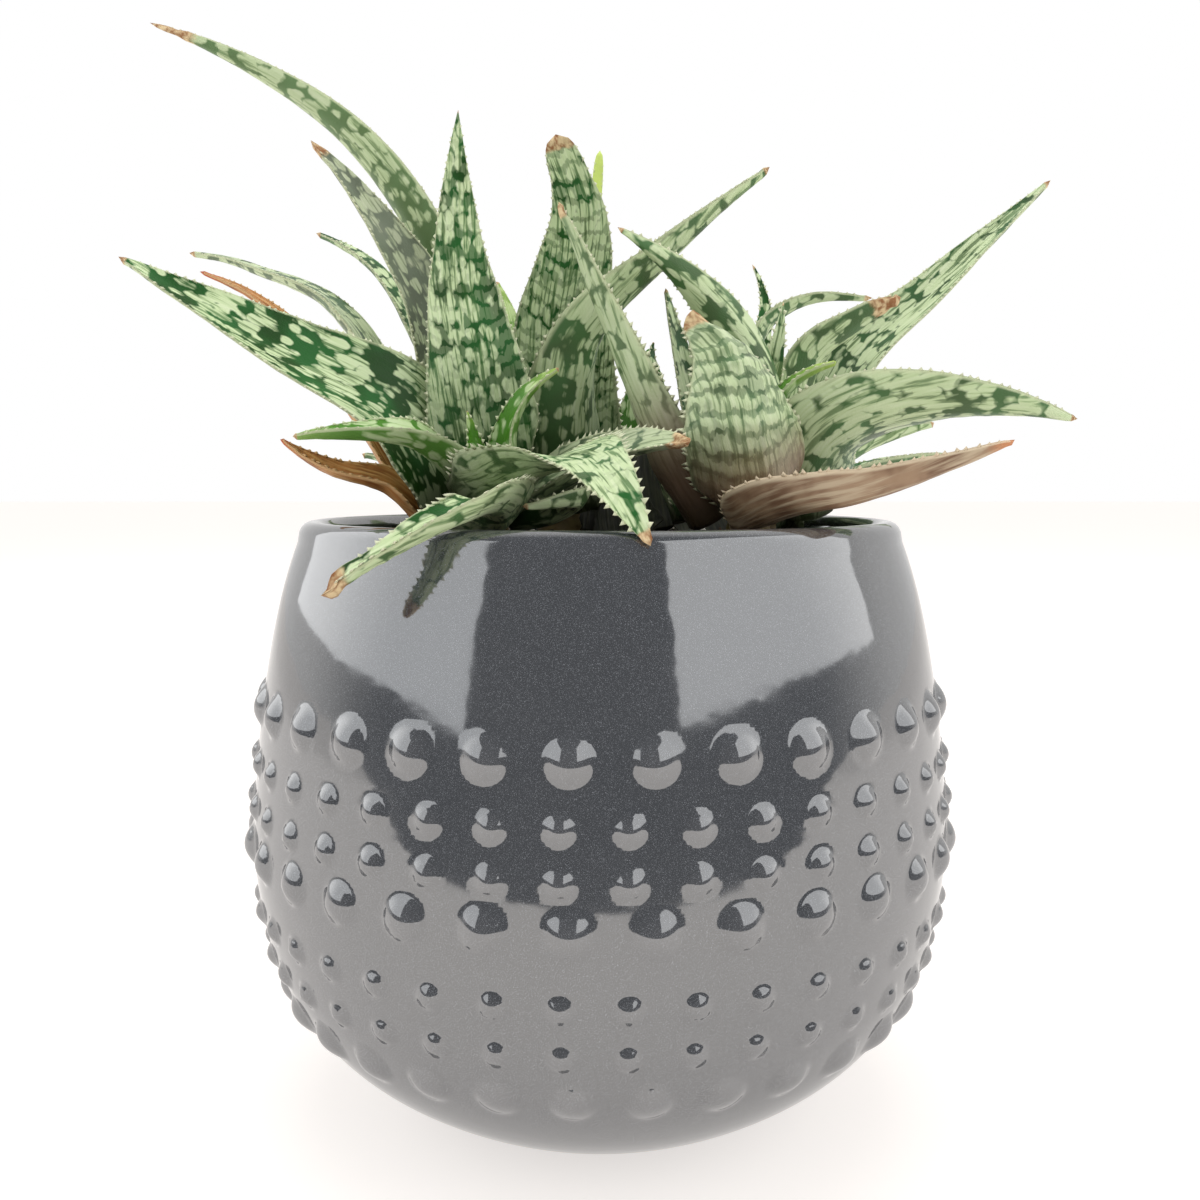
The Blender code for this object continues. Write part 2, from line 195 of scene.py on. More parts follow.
def leaf_material():
    """Leaf skin: pale oblong spots in cross bands on dark green, horny margins and dry tips, with
    painted shade darkening each leaf towards its base.

    leaf_place is across, along and under; leaf_kind is seed, share of the length and cover of the
    spots; leaf_look is edge, dry and tooth; leaf_tint is flush, blush and bright; leaf_bands_and_shade
    is the share of cross bands and the length that stays dark in painted shade.
    """
    material, tree, shader = new_material("leaf_skin")
    across, along, under = attribute(tree, "leaf_place")
    seed, share, cover = attribute(tree, "leaf_kind")
    edge, dry, tooth = attribute(tree, "leaf_look")
    flush, blush, bright = attribute(tree, "leaf_tint")
    depth = calc(tree, "ADD", seed, calc(tree, "MULTIPLY", under, 5.0))

    cells = stretched(tree, across, along, depth, 0.68, 0.30, 3.1)
    shake = put(tree, "ShaderNodeTexNoise", {"Vector": cells, "Scale": 1.1, "Detail": 2.0})
    shake = vector(tree, "SUBTRACT", {0: shake.outputs["Color"], 1: (0.5, 0.5, 0.5)})
    shake = vector(tree, "SCALE", {0: shake, "Scale": 0.75})
    cells = vector(tree, "ADD", {0: cells, 1: shake})
    distance = put(tree, "ShaderNodeTexVoronoi", {"Vector": cells, "Scale": 1.0, "Randomness": 0.85})
    distance = distance.outputs["Distance"]
    bands = noise_at(tree, stretched(tree, across, along, depth, 0.07, 0.22, 1.7), 1.0, 2.0)
    bands = ramp(tree, bands, 0.40, 0.60)
    size = calc(tree, "MULTIPLY_ADD", bands, 0.30, calc(tree, "MULTIPLY_ADD", cover, 0.46, 0.07))
    spots = calc(tree, "MULTIPLY_ADD", calc(tree, "SUBTRACT", size, distance), 6.0, 0.5, clamp=True)
    weight, shade, _ = attribute(tree, "leaf_bands_and_shade")
    bow = calc(tree, "MULTIPLY", calc(tree, "MULTIPLY", across, across), 0.035)
    bowed = calc(tree, "SUBTRACT", along, bow)
    sway = calc(tree, "MULTIPLY_ADD", noise_at(tree, cells, 0.9, 3.0), 5.0, bowed)
    wave = ramp(tree, calc(tree, "SINE", calc(tree, "MULTIPLY", sway, 2.1)), -0.75, -0.1)
    mixed = calc(tree, "MULTIPLY", calc(tree, "SUBTRACT", wave, spots), weight)
    spots = calc(tree, "ADD", spots, mixed, clamp=True)
    streaks = noise_at(tree, stretched(tree, across, along, depth, 1.9, 0.12, 2.3), 1.0, 2.0)
    spots = calc(tree, "MULTIPLY", spots, ramp(tree, streaks, 0.36, 0.48, 0.30, 1.0))

    tone = noise_at(tree, stretched(tree, across, along, depth, 0.15, 0.10, 4.1), 1.0, 2.0)
    ground = blend(tree, ramp(tree, tone, 0.35, 0.65), srgb(22, 68, 4), srgb(30, 96, 34))
    ground = blend(tree, calc(tree, "MULTIPLY", bright, 0.9, clamp=True), ground, srgb(70, 134, 22))
    pale = blend(tree, streaks, srgb(158, 190, 112), srgb(230, 238, 206))
    color = blend(tree, spots, ground, pale)
    color = blend(tree, calc(tree, "MULTIPLY", under, 0.18), color, srgb(158, 172, 132))
    color = blend(tree, calc(tree, "MULTIPLY", bright, 0.25), color, srgb(112, 168, 40))
    fresh = ramp(tree, calc(tree, "MULTIPLY", bright, share), 0.5, 1.1)
    color = blend(tree, fresh, color, srgb(206, 226, 120))
    veil = calc(tree, "MULTIPLY", flush, ramp(tree, tone, 0.25, 0.75, 0.55, 1.0))
    color = blend(tree, veil, color, srgb(146, 141, 132))
    base = calc(tree, "MULTIPLY", blush, ramp(tree, share, 0.50, 0.12))
    color = blend(tree, base, color, blend(tree, streaks, srgb(124, 98, 76), srgb(186, 160, 142)))
    rim = ramp(tree, edge, 0.93, 0.995, 0.0, 0.7)
    color = blend(tree, rim, color, srgb(196, 204, 164))
    # Painted shade: each leaf grows darker towards its base, dark green, or dark brown where blushed.
    painted_base_shade = ramp(tree, share, 0.05, 0.50, 0.42, 0.0)
    color = blend(tree, painted_base_shade, color, blend(tree, base, srgb(20, 56, 6), srgb(84, 58, 40)))
    # Painted shadow: the lowest part of each leaf, lengthened by its shade share, turns nearly black.
    painted_base_shadow = ramp(tree, calc(tree, "SUBTRACT", share, shade), 0.0, 0.16, 0.8, 0.0)
    color = blend(tree, painted_base_shadow, color, srgb(34, 34, 16))
    scorch = noise_at(tree, stretched(tree, across, along, depth, 1.2, 0.8, 1.0), 1.0, 3.0)
    husk_and_painted_shade = blend(tree, ramp(tree, scorch, 0.35, 0.65), srgb(146, 98, 60), srgb(216, 192, 150))
    reach = calc(tree, "MULTIPLY_ADD", scorch, 0.5, calc(tree, "SUBTRACT", dry, 0.25))
    withered = ramp(tree, reach, 0.35, 0.65)
    color = blend(tree, withered, color, husk_and_painted_shade)
    color = blend(tree, calc(tree, "MULTIPLY", tooth, 0.9), color, srgb(226, 226, 196))
    tree.links.new(color, shader.inputs["Base Color"])

    rough = ramp(tree, streaks, 0.2, 0.8, 0.36, 0.50)
    tree.links.new(calc(tree, "MULTIPLY_ADD", withered, 0.3, rough), shader.inputs["Roughness"])
    shader.inputs["IOR"].default_value = 1.42
    grain = noise_at(tree, stretched(tree, across, along, depth, 5.0, 2.2, 1.0), 1.0, 2.0)
    height = calc(tree, "MULTIPLY_ADD", spots, 0.5, calc(tree, "MULTIPLY_ADD", streaks, 0.6, grain))
    bump = put(tree, "ShaderNodeBump", {"Strength": 0.35, "Distance": 0.00025, "Height": height})
    tree.links.new(bump.outputs[0], shader.inputs["Normal"])
    return material


def dead_leaf_material(name, dark, middle, light, tip, rim):
    """A withered leaf's papery skin, wrinkled along its length."""
    material, tree, shader = new_material(name)
    across, along, under = attribute(tree, "leaf_place")
    wrinkle = noise_at(tree, stretched(tree, across, along, under, 1.7, 0.10, 3.0), 1.0, 3.0)
    blotch = noise_at(tree, stretched(tree, across, along, under, 0.20, 0.16, 2.0), 1.0, 3.0)
    color = blend(tree, ramp(tree, blotch, 0.36, 0.62), dark, middle)
    color = blend(tree, ramp(tree, wrinkle, 0.42, 0.66), color, light)
    share = attribute(tree, "leaf_kind")[1]
    color = blend(tree, ramp(tree, share, 0.90, 0.98), color, tip)
    edge, _, tooth = attribute(tree, "leaf_look")
    color = blend(tree, ramp(tree, edge, 0.90, 0.98, 0.0, 0.7), color, rim)
    color = blend(tree, tooth, color, rim)
    tree.links.new(color, shader.inputs["Base Color"])
    tree.links.new(ramp(tree, wrinkle, 0.3, 0.7, 0.62, 0.48), shader.inputs["Roughness"])
    bump = put(tree, "ShaderNodeBump", {"Strength": 0.6, "Distance": 0.0004, "Height": wrinkle})
    tree.links.new(bump.outputs[0], shader.inputs["Normal"])
    return material


def stem_material():
    """The short stem: pale, with the marks of old leaf bases."""
    material, tree, shader = new_material("stem_skin")
    place = put(tree, "ShaderNodeTexCoord").outputs["Object"]
    patch = noise_at(tree, place, 600.0, 3.0)
    tree.links.new(blend(tree, patch, srgb(128, 118, 70), srgb(98, 72, 44)), shader.inputs["Base Color"])
    shader.inputs["Roughness"].default_value = 0.6
    bump = put(tree, "ShaderNodeBump", {"Strength": 0.5, "Distance": 0.0004, "Height": patch})
    tree.links.new(bump.outputs[0], shader.inputs["Normal"])
    return material


# ---------------------------------------------------------------- meshes


def to_object(name, points, faces, material, attributes=()):
    """A smooth object from points in millimetres, with vector attributes on its points."""
    mesh = bpy.data.meshes.new(name)
    mesh.from_pydata((np.asarray(points, dtype=float) * MM).tolist(), [], faces)
    for key, values in dict(attributes).items():
        layer = mesh.attributes.new(key, "FLOAT_VECTOR", "POINT")
        layer.data.foreach_set("vector", np.asarray(values, dtype=np.float32).ravel())
    mesh.materials.append(material)
    mesh.shade_smooth()
    made = bpy.data.objects.new(name, mesh)
    bpy.context.collection.objects.link(made)
    return made


def stand_for(piece, nodes):
    """The piece rides on the plant's one body and takes the place of its CAD nodes."""
    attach(piece, "root")
    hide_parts(*nodes)


def slope(knots, values, i):
    """The slope of a smooth curve at its i-th point."""
    if len(values) == 2:
        return values[1] - values[0]
    last = len(values) - 1
    inner = min(max(i, 1), last - 1)
    middle = (values[inner + 1] - values[inner - 1]) / (knots[inner + 1] - knots[inner - 1])
    if i == inner:
        return middle
    low, high = (0, 1) if i == 0 else (last - 1, last)
    return 2 * (values[high] - values[low]) / (knots[high] - knots[low]) - middle


def smooth_value(knots, values, at):
    """A smooth curve through values at rising knots: its value and its slope."""
    i = 0
    while i < len(knots) - 2 and knots[i + 1] <= at:
        i += 1
    span = knots[i + 1] - knots[i]
    t = (at - knots[i]) / span
    start = slope(knots, values, i) * span
    end = slope(knots, values, i + 1) * span
    rise = values[i + 1] - values[i]
    square = 3 * rise - 2 * start - end
    cube = start + end - 2 * rise
    value = values[i] + start * t + square * t**2 + cube * t**3
    rate = start + 2 * square * t + 3 * cube * t**2
    return value, rate / span


def smooth_step(t):
    """Rises from 0 to 1 with level ends."""
    t = min(max(t, 0.0), 1.0)
    return t * t * (3 - 2 * t)


def ring_faces(count, sides):
    """Quads between rings of points, each ring joined to the next."""
    faces = []
    for ring in range(count - 1):
        low = ring * sides
        for i in range(sides):
            j = (i + 1) % sides
            faces.append((low + i, low + j, low + sides + j, low + sides + i))
    return faces


# ---------------------------------------------------------------- pot

OUTLINE = ((0, 29.1), (6, 39.8), (13, 48.8), (21, 55.3), (31, 59.7), (48, 62.4), (67, 61.1),
           (80, 59.3), (92, 56.8), (102, 53.6))
RIM_HEIGHT = 105.0
LIP_START = 101.8
WALL = 5.0
FLOOR = 6.0
POT_SIDES = 560
DOT_ZONE = (18.0, 80.0)
DOT_STEP = 0.6

# A row of dots: height on the wall, how many, the turn of the first, radius and how far it stands out
DotRow = namedtuple("DotRow", "z count turn radius height")
LARGE_DOTS = [DotRow(z, 32, radians(-4.0), 3.7, 1.6) for z in (23.3, 50.3, 74.2)]
SMALL_DOTS = [DotRow(z, 40, radians(-5.2), 2.35, 1.2) for z in (31.4, 39.2, 57.5, 64.9)]


def wall_radius(z):
    """The pot's outer radius at height z, without its dots."""
    return smooth_value([point[0] for point in OUTLINE], [point[1] for point in OUTLINE], z)[0]


def dot_relief(z, radius, angles):
    """How far the dots stand out around the wall at height z, and their share of full height."""
    relief = np.zeros(len(angles))
    share = np.zeros(len(angles))
    for row in LARGE_DOTS + SMALL_DOTS:
        if abs(z - row.z) >= row.radius:
            continue
        step = 2 * pi / row.count
        aside = (angles - row.turn + step / 2) % step - step / 2
        away = ((aside * radius) ** 2 + (z - row.z) ** 2) / row.radius**2
        dome = np.clip(1 - away, 0, None) ** 1.15
        relief = np.maximum(relief, row.height * dome)
        share = np.maximum(share, dome)
    return relief, share


def pot_rings():
    """The pot's rings of (radius, height, bare) from the foot, over the rim and down to the floor."""
    rings = [(share * OUTLINE[0][1], 0.0, 1.0) for share in (0.25, 0.5, 0.75, 0.93)]
    rings += [(wall_radius(0) - 0.2, 0.05, 0.6)]
    low = list(np.linspace(0.5, DOT_ZONE[0], 20))
    middle = list(np.arange(DOT_ZONE[0] + DOT_STEP, DOT_ZONE[1], DOT_STEP))
    high = list(np.linspace(DOT_ZONE[1], LIP_START - 0.3, 14))
    rings += [(wall_radius(z), z, 0.0) for z in low + middle + high]
    middle_of_lip = wall_radius(LIP_START) - WALL / 2
    for turn in np.linspace(0.12, 0.88, 9) * pi:
        across = WALL / 2 * cos(turn)
        up = (RIM_HEIGHT - LIP_START) * sin(turn) ** 0.8
        rings.append((middle_of_lip + across, LIP_START + up, 0.0))
    rings += [(wall_radius(z) - WALL, z, 0.0) for z in (101, 98, 92, 80, 65, 50, 35, 20, 11)]
    rings += [(wall_radius(FLOOR) - WALL - 4, FLOOR, 0.0), (8.0, FLOOR, 0.0)]
    return rings


def make_pot():
    """The glazed pot with its rows of raised dots."""
    angles = 2 * pi * np.arange(POT_SIDES) / POT_SIDES
    points, marks = [], []
    rings = pot_rings()
    top = max(range(len(rings)), key=lambda i: rings[i][1])
    for i, (radius, z, bare) in enumerate(rings):
        relief, share = dot_relief(z, radius, angles) if i < top else (0 * angles, 0 * angles)
        reach = radius + relief
        level = np.full(POT_SIDES, z)
        points.append(np.stack([reach * np.sin(angles), -reach * np.cos(angles), level], axis=1))
        marks.append(np.stack([share, np.full(POT_SIDES, bare), 0 * angles], axis=1))
    faces = ring_faces(len(rings), POT_SIDES)
    faces.append(tuple(reversed(range(POT_SIDES))))
    faces.append(tuple(range((len(rings) - 1) * POT_SIDES, len(rings) * POT_SIDES)))
    pot = to_object("glazed_pot", np.concatenate(points), faces, glaze_material(),
                    {"pot_mark": np.concatenate(marks)})
    stand_for(pot, ["pot"])


# ---------------------------------------------------------------- soil

SOIL_SIDES = 150
SOIL_RINGS = 52
GRAIN_REACH = 47.5


def soil_height(top, x, y):
    """The height of the soil's lumpy top."""
    place = Vector((x, y, 0))
    lumps = 1.1 * noise.noise(place * 0.10) + 0.7 * noise.noise(place * 0.33)
    lumps += 0.45 * noise.noise(place * 0.9)
    slump = 1.6 * smooth_step((sqrt(x * x + y * y) - 38) / 12)
    return top - 0.9 + lumps - slump


def make_soil(top):
    """The potting soil: a lumpy top on the solid that fills the pot."""
    widest = wall_radius(98) - WALL - 0.4
    around = 2 * pi * np.arange(SOIL_SIDES) / SOIL_SIDES
    points = []
    for z in (FLOOR + 0.4, 12, 25, 50, 75, 92):
        shrink = 4.5 if z < 7 else 0.4
        radius = wall_radius(z) - WALL - shrink
        points += [(radius * sin(a), -radius * cos(a), z) for a in around]
    for i in range(SOIL_RINGS):
        radius = widest * (1 - i / SOIL_RINGS) ** 0.9
        for a in around:
            x, y = radius * sin(a), -radius * cos(a)
            points.append((x, y, soil_height(top, x, y)))
    rings = len(points) // SOIL_SIDES
    faces = ring_faces(rings, SOIL_SIDES)
    faces.append(tuple(reversed(range(SOIL_SIDES))))
    faces.append(tuple(range((rings - 1) * SOIL_SIDES, rings * SOIL_SIDES)))
    peat = soil_material("peat", srgb(14, 9, 6), srgb(52, 36, 24))
    soil = to_object("potting_soil", points, faces, peat)
    stand_for(soil, ["soil"])


def scatter_grains(name, top, count, smallest, largest, material, seed):
    """Loose grains over the soil, each a dented pebble."""
    shape = bmesh.new()
    bmesh.ops.create_icosphere(shape, subdivisions=1, radius=1.0)
    corners = [vert.co.copy() for vert in shape.verts]
    triangles = [[vert.index for vert in face.verts] for face in shape.faces]
    shape.free()
    chance = np.random.default_rng(seed)
    points, faces = [], []
    for _ in range(count):
        radius = GRAIN_REACH * sqrt(chance.random())
        angle = 2 * pi * chance.random()
        size = smallest + (largest - smallest) * chance.random() ** 2
        x, y = radius * sin(angle), -radius * cos(angle)
        centre = Vector((x, y, soil_height(top, x, y) + size * 0.25))
        turn = Matrix.Rotation(2 * pi * chance.random(), 3, Vector(chance.normal(size=3)).normalized())
        stretch = Vector(chance.uniform(0.65, 1.25, 3))
        first = len(points)
        for corner in corners:
            dent = 1 + 0.35 * noise.noise(corner * 1.7 + centre)
            points.append(centre + turn @ (corner * stretch) * (size / 2 * dent))
        faces += [[first + i for i in triangle] for triangle in triangles]
    grains = to_object(name, points, faces, material)
    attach(grains, "root")


# ---------------------------------------------------------------- stems

STEM_SIDES = 24
STEM_RINGS = 26


def make_stem(node, material):
    """A rosette's short stem, ringed with the marks of old leaf bases."""
    low, high = (Vector(corner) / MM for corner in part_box(node))
    middle = (low + high) / 2
    radius = (high.x - low.x) / 2
    points = []
    for ring in range(STEM_RINGS):
        t = ring / (STEM_RINGS - 1)
        z = low.z + (high.z - low.z) * t
        swell = min(1.0, 0.5 + 4 * t) * (1 - 0.55 * smooth_step((t - 0.6) / 0.4))
        for i in range(STEM_SIDES):
            angle = 2 * pi * i / STEM_SIDES
            scar = 0.06 * sin(z * 2.6 + 2 * angle)
            reach = radius * swell * (0.94 + scar)
            points.append((middle.x + reach * sin(angle), middle.y - reach * cos(angle), z))
    faces = ring_faces(STEM_RINGS, STEM_SIDES)
    faces.append(tuple(reversed(range(STEM_SIDES))))
    faces.append(tuple(range((STEM_RINGS - 1) * STEM_SIDES, STEM_RINGS * STEM_SIDES)))
    stem = to_object(node + "_ringed", points, faces, material)
    stand_for(stem, [node])


# ---------------------------------------------------------------- leaves

# A leaf follows its route from base to tip. Its two face vectors say which way the hollow upper
# side looks at the base and at the tip.
Leaf = namedtuple("Leaf", "name route width thickness face_base face_tip channel taper")
LEAVES = (
    Leaf("left_leaf_sweeping", ((-17, 8, 104), (-27, 16, 141), (-37, 15, 165), (-54, 17, 183),
          (-86, 19, 199)),
         13, 3.2, (0.5, 0.8, 0.1), (0.5, 0.7, 0.5), 0.3, 0.8),
    Leaf("left_leaf_grey", ((-23, 3, 105), (-30, 8, 139), (-40, 7, 158), (-53, 7, 174)),
         21, 3, (0.6, -0.75, 0.2), (0.6, -0.6, 0.3), 0.45, 0.9),
    Leaf("left_leaf_upright", ((-19, -1, 110), (-22, -4, 131), (-25, -1, 151), (-25, -1, 177)),
         20, 3.6, (0, -1, 0.1), (0.1, -1, 0.1), 0.3, 0.95),
    Leaf("left_leaf_broad", ((-27, -3, 106), (-34, -8, 123), (-53, -12, 134), (-80, -16, 149)),
         24, 3.4, (0.45, -0.65, 0.6), (0.2, -0.7, 0.7), 0.38, 0.9),
    Leaf("left_leaf_back_long", ((-28, 5, 104), (-51, 24, 145), (-74, 38, 157), (-89, 46, 161)),
         12, 3, (0.3, 0.3, 0.9), (0, -0.3, 1), 0.3, 0.9),
    Leaf("left_leaf_back_small", ((-22, 12, 104), (-40, 26, 148), (-60, 40, 164)),
         10, 3, (0.4, -0.2, 0.9), (0.3, -0.5, 0.8), 0.3, 0.9),
    Leaf("left_leaf_back_dry", ((-32, 1, 104), (-58, 14, 140), (-79, 22, 153)),
         9, 1.8, (0.3, -0.2, 0.9), (0.2, -0.4, 0.9), 0.5, 0.9),
    Leaf("left_leaf_young_left", ((-24, -10, 112), (-29, -19, 119), (-39, -24, 120), (-49, -27, 119)),
         10, 2.4, (0.2, -0.35, 0.95), (0.1, -0.2, 1), 0.7, 0.8),
    Leaf("left_leaf_young_right", ((-16, -10, 112), (-15, -12, 123), (-7, -14, 131)),
         7, 2, (-0.6, -0.6, 0.4), (-0.5, -0.6, 0.6), 0.6, 0.8),
    Leaf("left_leaf_young_centre", ((-21, -9, 114), (-23, -10, 124)),
         4, 1.6, (0.3, -0.8, 0.3), (0.3, -0.8, 0.3), 0.5, 0.8),
    Leaf("left_leaf_curled", ((-21, -14, 109), (-14, -24, 114), (-4, -34, 116), (1, -47, 113),
          (7, -54, 103)),
         18, 2.8, (-0.1, 0.7, 0.8), (-0.3, -0.8, 0.6), 0.35, 0.7),
    Leaf("left_leaf_front", ((-22, -14, 104), (-16, -30, 108), (-18, -46, 109), (-29, -52, 103),
          (-39, -53, 96)),
         14, 2.6, (-0.1, -0.3, 1), (-0.5, -0.3, 0.8), 0.55, 0.8),
    Leaf("left_leaf_tucked", ((-15, -15, 105), (-4, -24, 109), (-12, -34, 108)),
         9, 2.4, (-0.3, 0.2, 0.9), (-0.4, 0.2, 0.9), 0.5, 0.7),
    Leaf("left_leaf_right", ((-14, -9, 108), (0, -20, 116), (14, -32, 118)),
         17, 2.4, (-0.1, -0.5, 0.9), (-0.2, -0.6, 0.9), 0.4, 0.75),
    Leaf("left_leaf_dead", ((-31, -9, 104), (-36, -10, 111), (-46, -11, 114), (-55, -12, 119)),
         9, 1.6, (0.3, -0.3, 0.9), (0.3, -0.4, 0.9), 0.6, 0.8),
    Leaf("middle_leaf_stub", ((-8, 19, 106), (-7, 19, 141), (-4, 15, 160), (-6, 9, 175)),
         25, 3.6, (0, -1, 0.1), (0, -1, 0.1), 0.35, 0.6),
    Leaf("middle_leaf_diagonal", ((-3, 9, 107), (-4, 3, 136), (10, 3, 152), (31, 6, 169)),
         19, 3.2, (-0.5, 0.6, 0.6), (-0.5, -0.2, 0.8), 0.6, 0.9),
    Leaf("rear_leaf_bright", ((-3, 34, 105), (-2, 40, 150), (0, 44, 182)),
         8, 2.6, (0, -1, 0), (0, -1, 0.2), 0.4, 0.8),
    Leaf("rear_leaf_left", ((-12, 31, 105), (-18, 36, 143), (-22, 40, 154)),
         12, 3, (0.5, -0.5, 0.6), (0.5, -0.5, 0.6), 0.4, 0.9),
    Leaf("rear_leaf_back", ((-6, 38, 105), (-10, 50, 126), (-16, 66, 140)),
         16, 3.4, (0.1, -0.8, 0.6), (0.1, -0.5, 0.8), 0.4, 0.9),
    Leaf("rear_leaf_back_right", ((0, 37, 104), (8, 50, 116), (16, 72, 124)),
         15, 3.4, (-0.1, -0.5, 0.9), (-0.1, -0.3, 0.9), 0.4, 0.9),
    Leaf("rear_leaf_back_left", ((-13, 37, 106), (-32, 46, 113), (-54, 54, 118)),
         14, 3.2, (0.3, -0.3, 0.9), (0.2, -0.2, 1), 0.45, 0.9),
    Leaf("right_leaf_pale", ((18, -10, 105), (12, -13, 116), (1, -12, 141), (-7, -11, 159)),
         13, 2.6, (0.7, 0.7, 0.2), (0.8, 0.3, 0.5), 0.4, 0.85),
    Leaf("right_leaf_banded", ((27, -16, 107), (24, -23, 119), (22, -21, 129), (18, -16, 139)),
         20, 3.4, (0, 1, 0.1), (-0.3, 0.8, -0.6), 0.45, 0.6),
    Leaf("right_leaf_arching", ((31, -4, 107), (29, -6, 127), (20, -7, 142), (3, -10, 155)),
         14, 3.2, (-0.8, 0.4, 0.3), (-0.3, 0.5, 0.8), 0.4, 0.85),
    Leaf("right_leaf_right", ((35, -11, 106), (39, -15, 120), (56, -18, 125), (78, -22, 122)),
         20, 3.6, (-0.1, 0.75, 0.6), (0, 0.6, 0.8), 0.45, 0.9),
    Leaf("right_leaf_dead", ((23, -19, 104), (27, -32, 108), (41, -39, 111), (61, -42, 118)),
         13, 1.8, (-0.1, 0.6, 0.8), (-0.1, 0.6, 0.8), 0.5, 0.85),
    Leaf("right_leaf_inner_left", ((22, -4, 106), (16, 2, 130), (12, 4, 147)),
         9, 2.8, (0.5, -0.8, 0.2), (0.4, -0.8, 0.3), 0.4, 0.8),
    Leaf("right_leaf_inner_dark", ((15, -5, 105), (10, 4, 128), (10, 10, 138)),
         8, 2.6, (0.6, -0.7, 0.3), (0.5, -0.7, 0.4), 0.4, 0.8),
    Leaf("right_leaf_young", ((26, -13, 115), (31, -13, 127), (40, -14, 132)),
         6, 2, (-0.5, -0.2, 0.9), (-0.5, -0.3, 0.9), 0.6, 0.8),
    Leaf("right_leaf_low_right", ((34, -3, 104), (40, 4, 114), (64, 12, 123)),
         12, 3, (-0.2, 0.5, 0.9), (-0.2, 0.4, 0.9), 0.4, 0.85),
    Leaf("rear_right_leaf_long", ((39, 15, 106), (48, 19, 133), (65, 21, 149), (89, 24, 171)),
         16, 3.2, (-0.5, -0.8, 0.4), (-0.5, -0.7, 0.6), 0.45, 0.85),
    Leaf("rear_right_leaf_folded", ((34, 12, 105), (39, 9, 134), (47, 8, 141), (56, 8, 146)),
         15, 2.8, (-0.5, 0.6, 0.7), (-0.5, 0.5, 0.7), 0.5, 0.6),
    Leaf("rear_right_leaf_green", ((29, 24, 106), (33, 32, 143), (57, 36, 150)),
         12, 3, (-0.2, 0.3, 1), (-0.1, 0.2, 1), 0.4, 0.8),
    Leaf("rear_right_leaf_pale", ((26, 10, 107), (31, -1, 132), (33, 0, 144)),
         8, 2.6, (0, -1, 0.2), (-0.1, -1, 0.2), 0.4, 0.8),
    Leaf("rear_right_leaf_far_tip", ((22, 27, 105), (36, 48, 146), (34, 54, 160)),
         10, 2.8, (0, -0.9, 0.4), (0, -0.7, 0.7), 0.4, 0.9),
    Leaf("rear_right_leaf_back", ((33, 26, 106), (45, 42, 122), (56, 60, 133)),
         15, 3.4, (-0.2, -0.6, 0.8), (-0.2, -0.4, 0.9), 0.4, 0.9),
    Leaf("rear_right_leaf_right", ((38, 22, 107), (57, 29, 115), (78, 37, 117)),
         13, 3.2, (-0.5, -0.1, 0.9), (-0.1, 0, 1), 0.45, 0.9),
)

# Leaves inside the clump, coloured near black as painted shade where the clump is in shadow
PAINTED_SHADE_LEAVES = (
    Leaf("painted_shade_leaf_left", ((-2, 20, 102), (-1, 25, 113), (1, 30, 124)),
         15, 2, (0, -1, 0.2), (0, -1, 0.3), 0.3, 0.5),
    Leaf("painted_shade_leaf_right", ((10, 18, 102), (9, 23, 112), (9, 28, 121)),
         15, 2, (0, -1, 0.2), (0, -1, 0.3), 0.3, 0.5),
    Leaf("painted_shade_leaf_low", ((6, 8, 101), (5, 11, 106), (5, 14, 111)),
         14, 2, (0, -1, 0.2), (0, -1, 0.3), 0.3, 0.5),
    Leaf("painted_shade_leaf_far", ((22, 14, 101), (20, 20, 109), (19, 24, 116)),
         14, 2, (0, -1, 0.2), (0, -1, 0.3), 0.3, 0.5),
)

INNER_GREEN = (
    Leaf("inner_green_leaf", ((7, 24, 104), (9, 29, 121), (10, 31, 139)),
         19, 2.2, (0, -1, 0.2), (0, -1, 0.3), 0.3, 0.7),
)
PAINTED_SHADE_TRAITS = dict(teeth=0.0)
